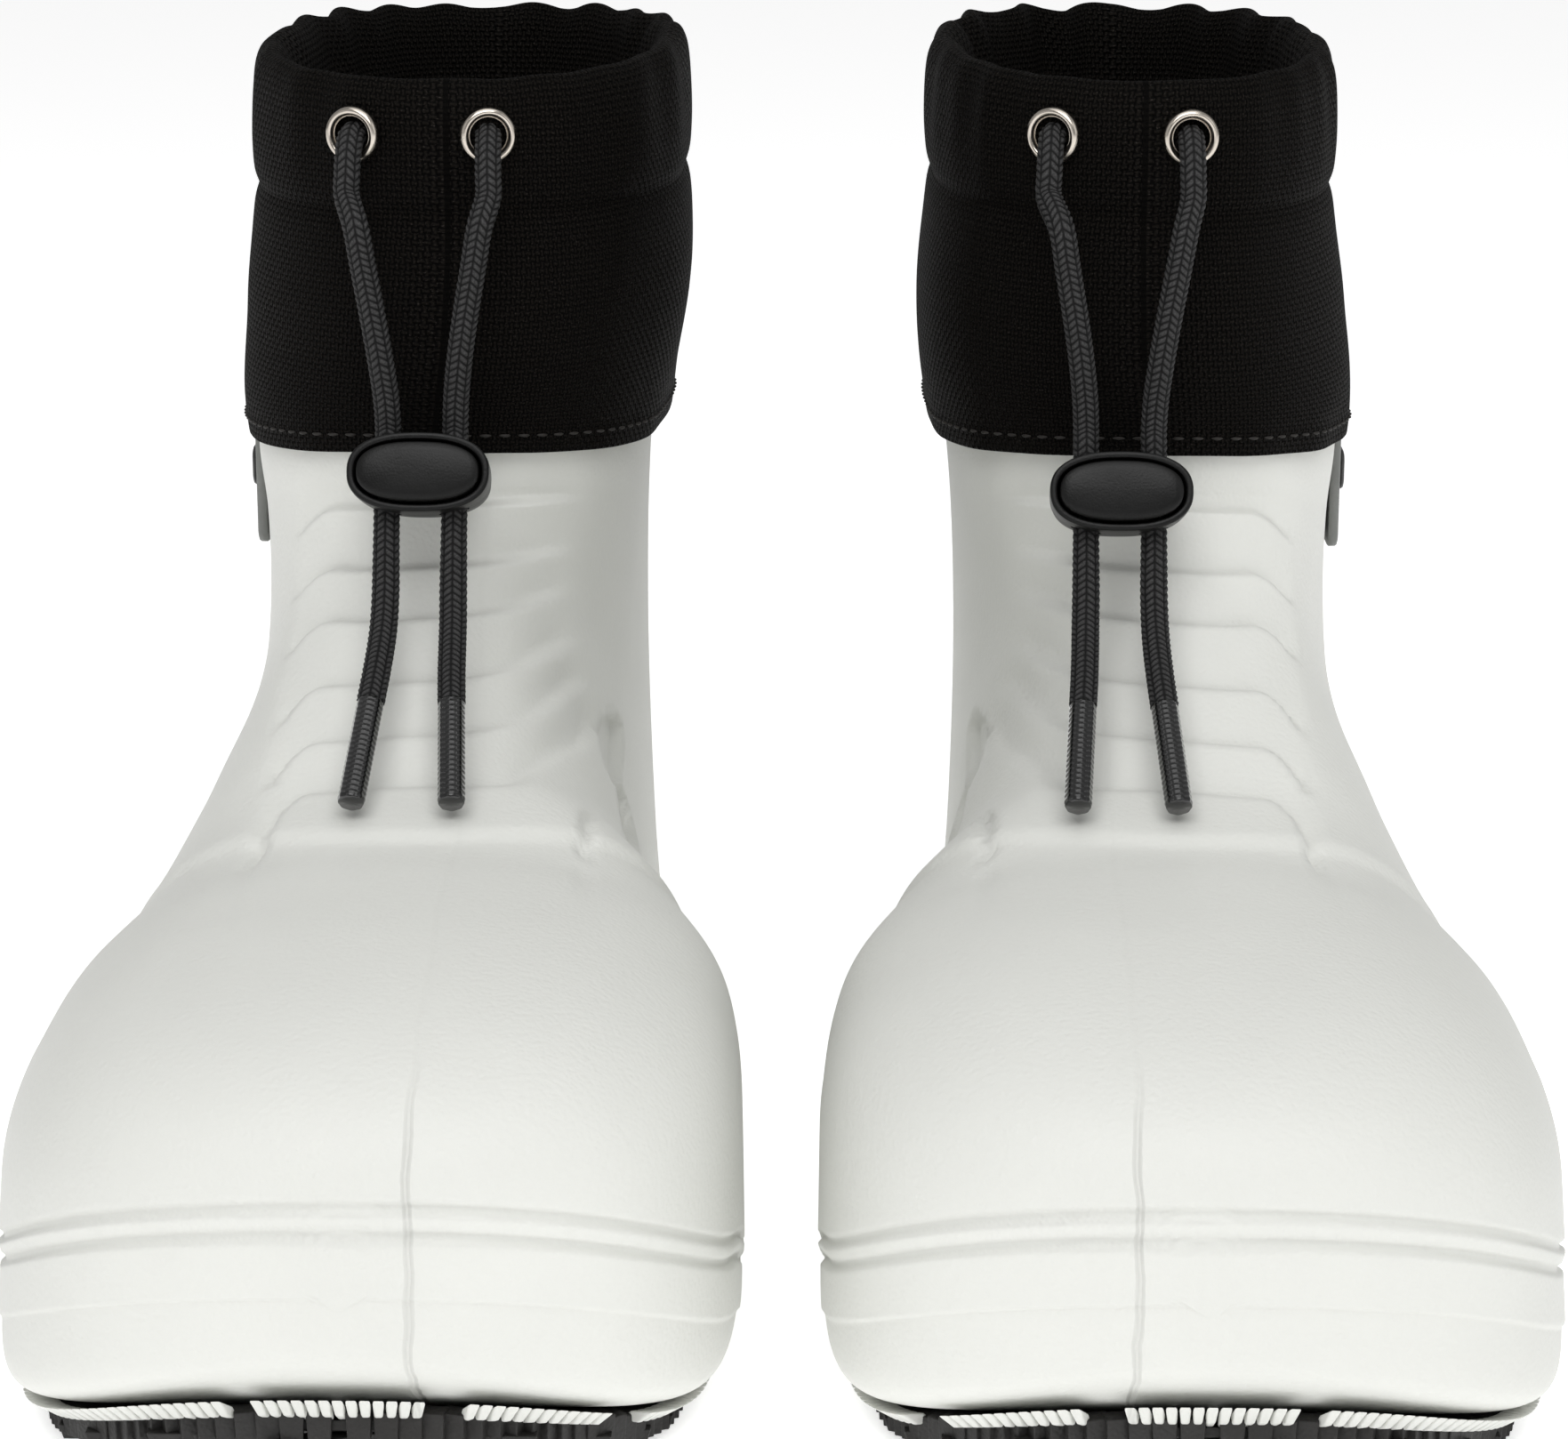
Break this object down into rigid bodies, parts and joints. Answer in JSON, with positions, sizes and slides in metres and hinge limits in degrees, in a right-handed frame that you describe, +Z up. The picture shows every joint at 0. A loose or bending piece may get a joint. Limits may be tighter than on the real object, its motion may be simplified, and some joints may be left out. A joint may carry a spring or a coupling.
{
  "type": "pair of winter ankle boots",
  "caption": "Pair of moulded foam winter ankle boots with a black fabric gaiter collar, a drawcord through metal eyelets and a sprung cord lock.",
  "frame": {"origin": "on the ground, midway between the two boots and midway between toe tip and heel", "axes": "+Z up; the toes point to -Y; +X to the wearer's left, so the wearer's right boot stands at -X"},
  "size_m": [0.2674, 0.2984, 0.212],
  "materials": {
    "eva": "fine pebbled skin, satin",
    "rubber": "matte moulded rubber",
    "fleece": "brushed lining",
    "insole_foam": "felt-covered foam",
    "fabric": "coarse plain weave",
    "cord": "braided polyester",
    "aglet_film": "clear heat-shrunk film over braid",
    "eyelet_metal": "black nickel, polished",
    "lock_plastic": "satin moulded",
    "spring_steel": "drawn wire",
    "tab_plastic": "satin translucent",
    "badge_plastic": "satin, blank"
  },
  "bodies": {
    "right_boot": {"right_shell": "eva", "right_outsole": "rubber", "right_bootie": "fleece", "right_insole": "insole_foam", "right_collar": "fabric", "right_collar_lining": "fabric", "right_casing_cord": "cord", "right_outer_eyelet": "eyelet_metal", "right_inner_eyelet": "eyelet_metal", "right_outer_washer": "eyelet_metal", "right_inner_washer": "eyelet_metal", "right_outer_cord": "cord", "right_inner_cord": "cord", "right_outer_aglet": "aglet_film", "right_inner_aglet": "aglet_film", "right_side_tab": "tab_plastic", "right_tab_badge": "badge_plastic"},
    "right_lock": {"right_lock_body": "lock_plastic", "right_lock_spring": "spring_steel"},
    "right_button": {"right_lock_button": "lock_plastic"},
    "left_boot": {"left_shell": "eva", "left_outsole": "rubber", "left_bootie": "fleece", "left_insole": "insole_foam", "left_collar": "fabric", "left_collar_lining": "fabric", "left_casing_cord": "cord", "left_outer_eyelet": "eyelet_metal", "left_inner_eyelet": "eyelet_metal", "left_outer_washer": "eyelet_metal", "left_inner_washer": "eyelet_metal", "left_outer_cord": "cord", "left_inner_cord": "cord", "left_outer_aglet": "aglet_film", "left_inner_aglet": "aglet_film", "left_side_tab": "tab_plastic", "left_tab_badge": "badge_plastic"},
    "left_lock": {"left_lock_body": "lock_plastic", "left_lock_spring": "spring_steel"},
    "left_button": {"left_lock_button": "lock_plastic"}
  },
  "joints": [
    {"name": "left_boot_lift", "type": "slide", "parent": "right_boot", "child": "left_boot", "axis": [0, 0, 1], "range_m": [0, 0.26]},
    {"name": "right_lock_slide", "type": "slide", "parent": "right_boot", "child": "right_lock", "axis": [0, -0.342, -0.9397], "range_m": [0, 0.008]},
    {"name": "right_button_press", "type": "slide", "parent": "right_lock", "child": "right_button", "axis": [0, 0.9397, -0.342], "range_m": [0, 0.0025], "stiffness_N_per_m": 800, "springref_m": -0.001, "deforming": ["right_lock_spring"]},
    {"name": "left_lock_slide", "type": "slide", "parent": "left_boot", "child": "left_lock", "axis": [0, -0.342, -0.9397], "range_m": [-0.003, 0.005]},
    {"name": "left_button_press", "type": "slide", "parent": "left_lock", "child": "left_button", "axis": [0, 0.9397, -0.342], "range_m": [0, 0.0025], "stiffness_N_per_m": 800, "springref_m": -0.001, "deforming": ["left_lock_spring"]}
  ]
}
